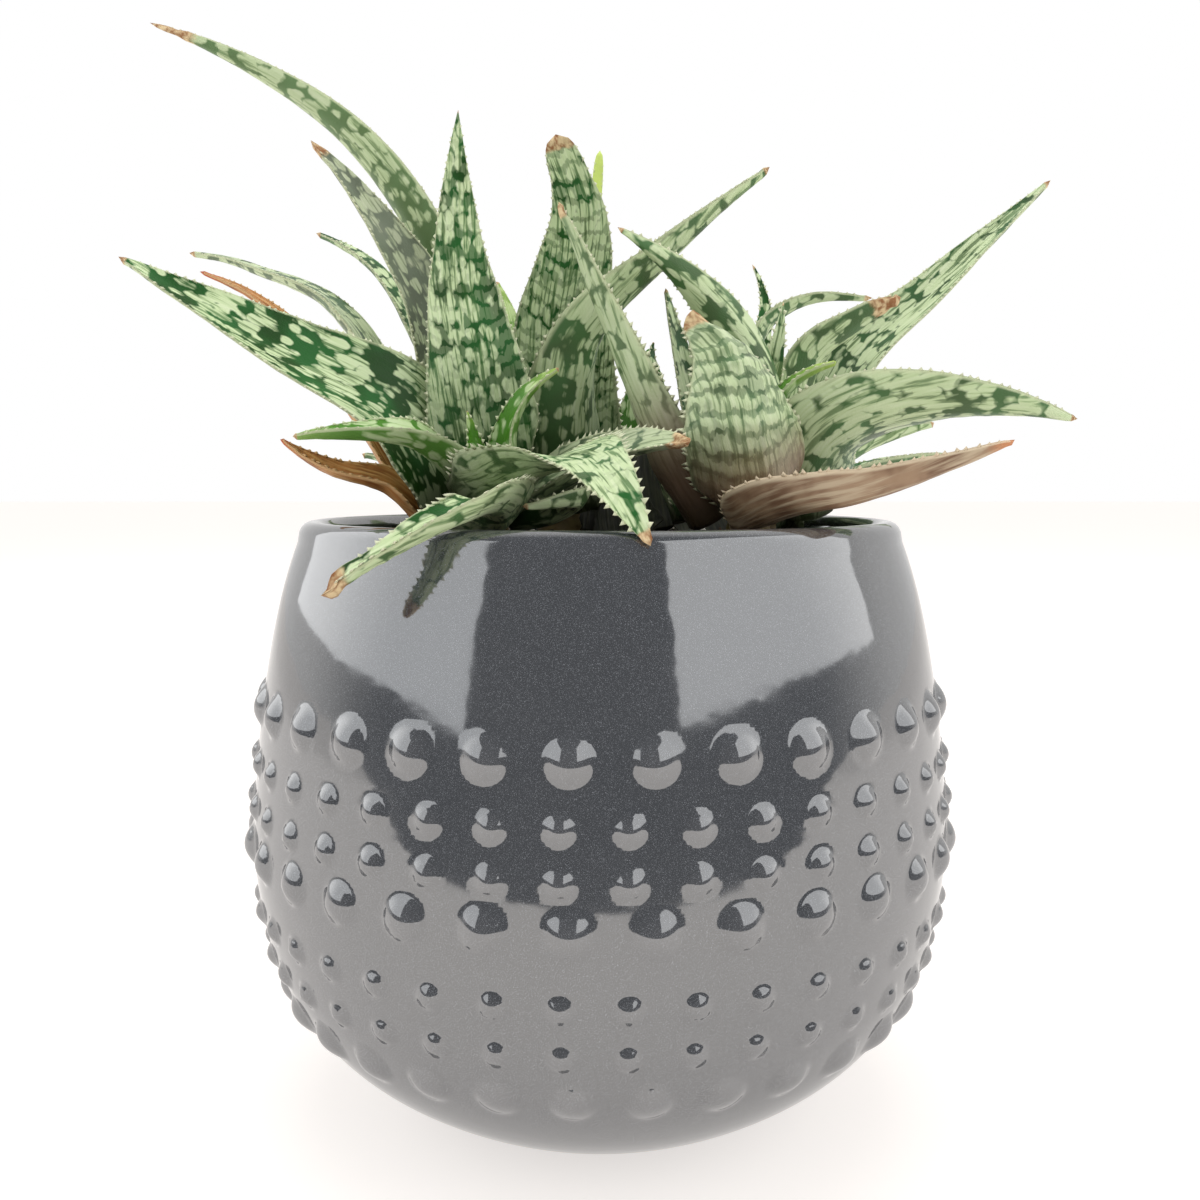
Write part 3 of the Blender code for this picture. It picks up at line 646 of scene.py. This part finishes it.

# What sets a leaf apart, where it isn't plain: flush (grey veil), blush (pink-brown base), bright
# (fresh green), cover (more spots), dry (length of the dead tip, as a share), blunt (width left at
# a broken tip), lumps (mm of unevenness), teeth (mm long), bands (share of cross bands),
# shoulder (where the taper starts), neck (width of the base), hook (mm that the tip bends aside),
# shade (share of the length that stays dark in painted shade).
PLAIN = dict(flush=0.0, blush=0.0, bright=0.0, cover=0.55, dry=0.015, blunt=0.0, lumps=0.25,
             teeth=0.9, bands=0.0, shoulder=0.2, neck=0.62, hook=(0, 0, 0), shade=0.0)
TRAITS = {
    "left_leaf_sweeping": dict(flush=0.2, bright=0.25, dry=0.06, teeth=0.4, cover=0.55),
    "left_leaf_grey": dict(flush=0.6, dry=0.04, teeth=0.5, cover=0.5),
    "left_leaf_upright": dict(cover=0.62, teeth=0.5, bands=0.2, dry=0.01),
    "left_leaf_broad": dict(cover=0.62, teeth=0.7),
    "left_leaf_back_long": dict(cover=0.8, flush=0.2, teeth=0.5),
    "left_leaf_young_left": dict(bright=0.7, teeth=0.7, cover=0.7),
    "left_leaf_young_right": dict(bright=0.8, teeth=0.8, cover=0.6),
    "left_leaf_young_centre": dict(bright=0.8, teeth=0.5, cover=0.2),
    "left_leaf_curled": dict(cover=0.85, dry=0.03, teeth=1.6, lumps=0.35, bands=0.1, blunt=0.14),
    "left_leaf_front": dict(cover=0.85, dry=0.06, teeth=1.6, lumps=0.6, blunt=0.26),
    "left_leaf_tucked": dict(cover=0.9, teeth=1.5),
    "left_leaf_right": dict(cover=1.0, flush=0.35, dry=0.08, teeth=1.5, blunt=0.2),
    "middle_leaf_stub": dict(cover=0.8, dry=0.03, blunt=0.3, teeth=0.6, bands=0.45, hook=(-2.2, 0, 0.6)),
    "middle_leaf_diagonal": dict(cover=0.72, teeth=0.8),
    "rear_leaf_bright": dict(shade=0.5, blunt=0.3, dry=0.0, bright=1.6, cover=0.3, teeth=0.4),
    "rear_leaf_left": dict(bright=0.8, cover=0.5, teeth=0.6),
    "right_leaf_pale": dict(cover=0.8, flush=0.22, bright=0.15, blush=1.0, dry=0.04, teeth=1.3),
    "right_leaf_banded": dict(cover=0.95, blush=0.9, dry=0.06, blunt=0.2, teeth=1.4, bands=0.6,
                              flush=0.1, shoulder=0.45, lumps=0.45, hook=(-3.0, 0, 0.5)),
    "right_leaf_arching": dict(cover=0.68, teeth=0.8),
    "right_leaf_right": dict(cover=0.8, teeth=0.8),
    "right_leaf_inner_left": dict(cover=0.8, flush=0.1),
    "right_leaf_young": dict(bright=0.9, cover=0.2, teeth=0.6, dry=0.0),
    "right_leaf_low_right": dict(cover=0.8, bright=0.2),
    "rear_right_leaf_long": dict(cover=0.85, flush=0.15, teeth=0.6),
    "rear_right_leaf_folded": dict(cover=0.6, dry=0.1, teeth=0.9),
    "rear_right_leaf_pale": dict(cover=0.9, flush=0.1, shade=0.1),
    "right_leaf_dead": dict(teeth=1.0, neck=0.2, lumps=0.2),
    "inner_green_leaf": dict(bright=0.5, cover=0.2, teeth=0.6, shade=0.2, dry=0.0),
    "painted_shade_leaf_left": PAINTED_SHADE_TRAITS,
    "painted_shade_leaf_right": PAINTED_SHADE_TRAITS,
    "painted_shade_leaf_low": PAINTED_SHADE_TRAITS,
    "painted_shade_leaf_far": PAINTED_SHADE_TRAITS,
    "left_leaf_dead": dict(teeth=0.6, neck=0.4, lumps=0.4),
}

STATIONS = 64
UPPER_POINTS = 15
LOWER_POINTS = 13
NECK_LENGTH = 0.22
BALANCE = 0.4
MARGIN = 0.16
TOOTH_SPACING = 1.5
TOOTH_ROOT = 0.25
TOOTHED = 0.92
HOOK_START = 0.8
RIDGE = 0.35
SEED_STEP = 7.3


def leaf_frame(leaf, s):
    """The centre of a leaf at share s of its length, with its three directions."""
    route = [Vector(point) for point in leaf.route]
    knots = [0.0]
    for a, b in zip(route, route[1:]):
        knots.append(knots[-1] + (b - a).length)
    centre, along = smooth_value([knot / knots[-1] for knot in knots], route, s)
    along.normalize()
    face = Vector(leaf.face_base).lerp(Vector(leaf.face_tip), s)
    face = (face - along * along.dot(face)).normalized()
    return centre, along, face, along.cross(face), knots[-1]


def half_width(leaf, s, traits):
    """Half of a leaf's width at share s: a neck, a shoulder and a long taper."""
    neck = traits["neck"] + (1 - traits["neck"]) * smooth_step(s / NECK_LENGTH)
    taper = min(1.0, (1 - s) / (1 - traits["shoulder"])) ** leaf.taper
    return leaf.width / 2 * neck * max(taper, traits["blunt"] * sqrt(max(1 - s**24, 0.0)))


def section_offset(leaf, s, half, u, upper):
    """The height of the leaf's skin over its centre, across at u from -1 to 1."""
    thick = leaf.thickness * (1 - 0.7 * s)
    trough = leaf.channel * half * (abs(u) ** 1.6 - BALANCE)
    if upper:
        return trough + 0.3 * thick * (1 - u * u) + MARGIN
    return trough - 0.7 * thick * max(1 - u * u, 0.0) ** 0.7 - MARGIN


class Skin:
    """A leaf's points and faces, with what its material needs to know at each point."""

    def __init__(self, seed, traits):
        self.seed = seed
        self.traits = traits
        self.points = []
        self.faces = []
        self.attributes = {key: [] for key in
                           ("leaf_place", "leaf_kind", "leaf_look", "leaf_tint", "leaf_bands_and_shade")}

    def add(self, point, across, along, under, s, edge, tooth):
        """One point: where it is, and where that is on the leaf."""
        traits = self.traits
        dry = smooth_step((s - 1 + 2 * traits["dry"]) / (1.6 * traits["dry"] + 0.001))
        self.points.append(point)
        self.attributes["leaf_place"].append((across, along, under))
        self.attributes["leaf_kind"].append((self.seed, s, traits["cover"]))
        self.attributes["leaf_look"].append((edge, dry, tooth))
        self.attributes["leaf_tint"].append((traits["flush"], traits["blush"], traits["bright"]))
        self.attributes["leaf_bands_and_shade"].append((traits["bands"], traits["shade"], 0.0))


def bent_aside(traits, s):
    """How far a hooked tip bends aside at share s of the length."""
    return Vector(traits["hook"]) * smooth_step((s - HOOK_START) / (1 - HOOK_START))


def add_blade(skin, leaf):
    """The leaf's blade: rings from its base to its tip, uneven and shrivelled where it is dry."""
    traits, seed = skin.traits, skin.seed
    upper = [(-cos(pi * k / (UPPER_POINTS - 1)), True) for k in range(UPPER_POINTS)]
    lower = [(cos(pi * (k + 0.5) / LOWER_POINTS), False) for k in range(LOWER_POINTS)]
    for station in range(STATIONS):
        s = (station / STATIONS) ** 0.95
        centre, along, face, side, length = leaf_frame(leaf, s)
        half = half_width(leaf, s, traits)
        half *= 1 + 0.05 * noise.noise(Vector((s * 9, seed, 0)))
        centre += bent_aside(traits, s)
        shrivel = smooth_step((s - 1 + 2 * traits["dry"]) / (2 * traits["dry"] + 0.001))
        for u, is_upper in upper + lower:
            height = section_offset(leaf, s, half, u, is_upper)
            wave = noise.noise(Vector((u * half * 0.22, s * length * 0.12, seed)))
            ripple = noise.noise(Vector((u * half * 0.8, s * length * 0.5, seed + 3)))
            ridge = sin(1.9 * (s * length - 0.035 * (half * u) ** 2) + wave)
            height += traits["lumps"] * (wave + 0.35 * ripple) + 0.9 * shrivel * ripple
            height += RIDGE * traits["bands"] * ridge
            point = centre + side * (half * u) + face * height
            skin.add(point, half * u, s * length, 0.0 if is_upper else 1.0, s, abs(u), 0.0)
    tip_place = Vector(leaf.route[-1]) + Vector(traits["hook"])
    skin.add(tip_place, 0.0, length, 0.0, 1.0, 0.0, 0.0)
    sides = UPPER_POINTS + LOWER_POINTS
    tip = len(skin.points) - 1
    skin.faces += ring_faces(STATIONS, sides)
    skin.faces.append(tuple(reversed(range(sides))))
    skin.faces += [(tip - sides + i, tip - sides + (i + 1) % sides, tip) for i in range(sides)]
    return length


def add_tooth(skin, leaf, hand, s, chance):
    """One tooth: a small pyramid that leans towards the tip."""
    centre, along, face, side, length = leaf_frame(leaf, s)
    half = half_width(leaf, s, skin.traits)
    reach = skin.traits["teeth"] * (0.65 + 0.5 * chance.random()) * (1 - 0.55 * s)
    centre += bent_aside(skin.traits, s)
    rise = face * (leaf.channel * half * (1 - BALANCE))
    root = centre + side * (hand * (half - TOOTH_ROOT)) + rise
    out = side * hand + along * chance.uniform(-0.1, 0.5) + face * (leaf.channel * 0.8)
    out.normalize()
    first = len(skin.points)
    for corner in (along * 0.6, face * 0.25, along * -0.6, face * -0.25):
        skin.add(root + corner, hand * half, s * length, 0.0, s, 1.0, 0.35)
    point = root + out * (reach + TOOTH_ROOT) + along * 0.15
    skin.add(point, hand * half, s * length, 0.0, s, 1.0, 1.0)
    order = (0, 1, 2, 3) if hand < 0 else (3, 2, 1, 0)
    for i in range(4):
        skin.faces.append((first + order[i], first + order[(i + 1) % 4], first + 4))
    skin.faces.append(tuple(first + i for i in reversed(order)))


def make_leaf(index, leaf, material):
    """A fleshy leaf with toothed margins, its skin's coordinates on its points."""
    traits = PLAIN | TRAITS.get(leaf.name, {})
    skin = Skin(SEED_STEP * index, traits)
    length = add_blade(skin, leaf)
    chance = np.random.default_rng(index)
    teeth = int(length * TOOTHED / TOOTH_SPACING) if traits["teeth"] else 0
    for hand in (-1, 1):
        for k in range(teeth):
            add_tooth(skin, leaf, hand, 0.05 + TOOTHED * (k + 0.6 * chance.random()) / teeth, chance)
    made = to_object(leaf.name + "_skin", skin.points, skin.faces, material, skin.attributes)
    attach(made, "root")
    return made


def leaf_slots():
    """Each leaf node's material slot, from the record."""
    return {entry["node"]: entry["material_slot"] for entry in frame["record"]["subparts"]}


# ---------------------------------------------------------------- light and floor

FLOOR_REACH = 6000
FLOOR_FRONT = -270


def make_world():
    """A white studio. Reflections see it bright behind the pot and dim in front of it."""
    world = bpy.data.worlds.new("studio")
    bpy.context.scene.world = world
    world.use_nodes = True
    tree = world.node_tree
    background = tree.nodes["Background"]
    reflected = put(tree, "ShaderNodeLightPath").outputs["Is Glossy Ray"]
    direction = put(tree, "ShaderNodeTexCoord").outputs["Generated"]
    backward = put(tree, "ShaderNodeSeparateXYZ", {0: direction}).outputs[1]
    behind = ramp(tree, backward, -0.35, 0.45)
    room = blend(tree, behind, (0.20, 0.205, 0.22, 1.0), (1.0, 0.99, 0.98, 1.0))
    seen = put(tree, "ShaderNodeLightPath").outputs["Is Camera Ray"]
    color = blend(tree, seen, (0.66, 0.655, 0.64, 1.0), (1.0, 1.0, 1.0, 1.0))
    color = blend(tree, reflected, color, room)
    tree.links.new(color, background.inputs["Color"])
    background.inputs["Strength"].default_value = 1.0


def add_panel(name, azimuth, distance, width, low, high, radiance, color=(1, 1, 1)):
    """An upright light panel that faces the pot, azimuth 0 being the camera's side."""
    a = radians(azimuth)
    height = high - low
    light = bpy.data.lights.new(name, "AREA")
    light.shape = "RECTANGLE"
    light.size = width
    light.size_y = height
    light.energy = radiance * pi * width * height
    light.color = color
    panel = bpy.data.objects.new(name, light)
    panel.location = (distance * sin(a), -distance * cos(a), low + height / 2)
    panel.rotation_euler = (pi / 2, 0, a)
    panel.visible_camera = False
    bpy.context.collection.objects.link(panel)


def make_lights():
    """Two window-like panels in front, left and right, and a soft top light."""
    add_panel("left_window", -85, 0.90, 1.70, 0.17, 1.10, 1.35, (0.96, 0.98, 1.0))
    add_panel("right_window", 63, 0.90, 1.45, 0.20, 1.30, 1.4, (0.98, 0.99, 1.0))
    top = bpy.data.lights.new("top_light", "AREA")
    top.size = 0.9
    top.energy = 2.4 * pi * top.size**2
    lamp = bpy.data.objects.new("top_light", top)
    lamp.location = (0, 0.2, 1.3)
    lamp.visible_camera = False
    lamp.visible_glossy = False
    bpy.context.collection.objects.link(lamp)


def make_floor():
    """A plain pale floor. It ends a little in front of the pot, so that the glaze mirrors its edge."""
    material, _, shader = new_material("pale_floor")
    shader.inputs["Base Color"].default_value = (0.58, 0.55, 0.53, 1.0)
    shader.inputs["Roughness"].default_value = 0.8
    shader.inputs["Emission Color"].default_value = (1.0, 0.965, 0.94, 1.0)
    shader.inputs["Emission Strength"].default_value = 0.60
    reach, front = FLOOR_REACH, FLOOR_FRONT
    corners = [(-reach, front, 0), (reach, front, 0), (reach, reach, 0), (-reach, reach, 0)]
    floor = to_object("floor", corners, [(0, 1, 2, 3)], material)


def make_ground(soil_top):
    """The soil with its loose grains of perlite and peat."""
    make_soil(soil_top)
    perlite = soil_material("perlite", srgb(196, 190, 178), srgb(232, 228, 220))
    scatter_grains("perlite_grains", soil_top, 190, 0.7, 2.8, perlite, 4)
    crumb = soil_material("crumb", srgb(16, 10, 6), srgb(66, 44, 26))
    scatter_grains("peat_crumbs", soil_top, 700, 0.6, 2.6, crumb, 9)


def make_plants():
    """The stems and leaves of all the rosettes."""
    stem_skin = stem_material()
    slots = leaf_slots()
    for node in slots:
        if node.endswith("_stem"):
            make_stem(node, stem_skin)
    skin = leaf_material()
    tan_skin = dead_leaf_material(
        "withered_tan", dark=srgb(122, 92, 68), middle=srgb(160, 132, 104), light=srgb(188, 168, 140),
        tip=srgb(198, 132, 88), rim=srgb(222, 204, 174))
    orange_skin = dead_leaf_material(
        "withered_orange", dark=srgb(140, 84, 32), middle=srgb(186, 122, 62), light=srgb(206, 156, 96),
        tip=srgb(178, 84, 34), rim=srgb(214, 176, 124))
    # Near-black papery skin for the leaves inside the clump: painted shade.
    husk_and_painted_shade = dead_leaf_material(
        "painted_shade_skin", dark=srgb(18, 16, 9), middle=srgb(28, 32, 13), light=srgb(44, 44, 22),
        tip=srgb(40, 34, 18), rim=srgb(40, 36, 20))
    withered = {"right_leaf_dead": tan_skin, "left_leaf_dead": orange_skin,
                "left_leaf_back_dry": orange_skin}
    for index, leaf in enumerate(LEAVES):
        made = make_leaf(index, leaf, withered.get(leaf.name, skin))
        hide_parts(leaf.name)
    # The near-black leaves that paint the shade between the rosettes.
    for index, leaf in enumerate(PAINTED_SHADE_LEAVES, len(LEAVES)):
        make_leaf(index, leaf, husk_and_painted_shade)
    for index, leaf in enumerate(INNER_GREEN, len(LEAVES) + len(PAINTED_SHADE_LEAVES)):
        make_leaf(index, leaf, skin)


def main():
    make_camera()
    make_pot()
    make_ground(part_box("soil")[1][2] / MM)
    make_plants()
    make_floor()
    make_world()
    make_lights()
    bpy.context.scene.view_settings.view_transform = "Standard"


main()
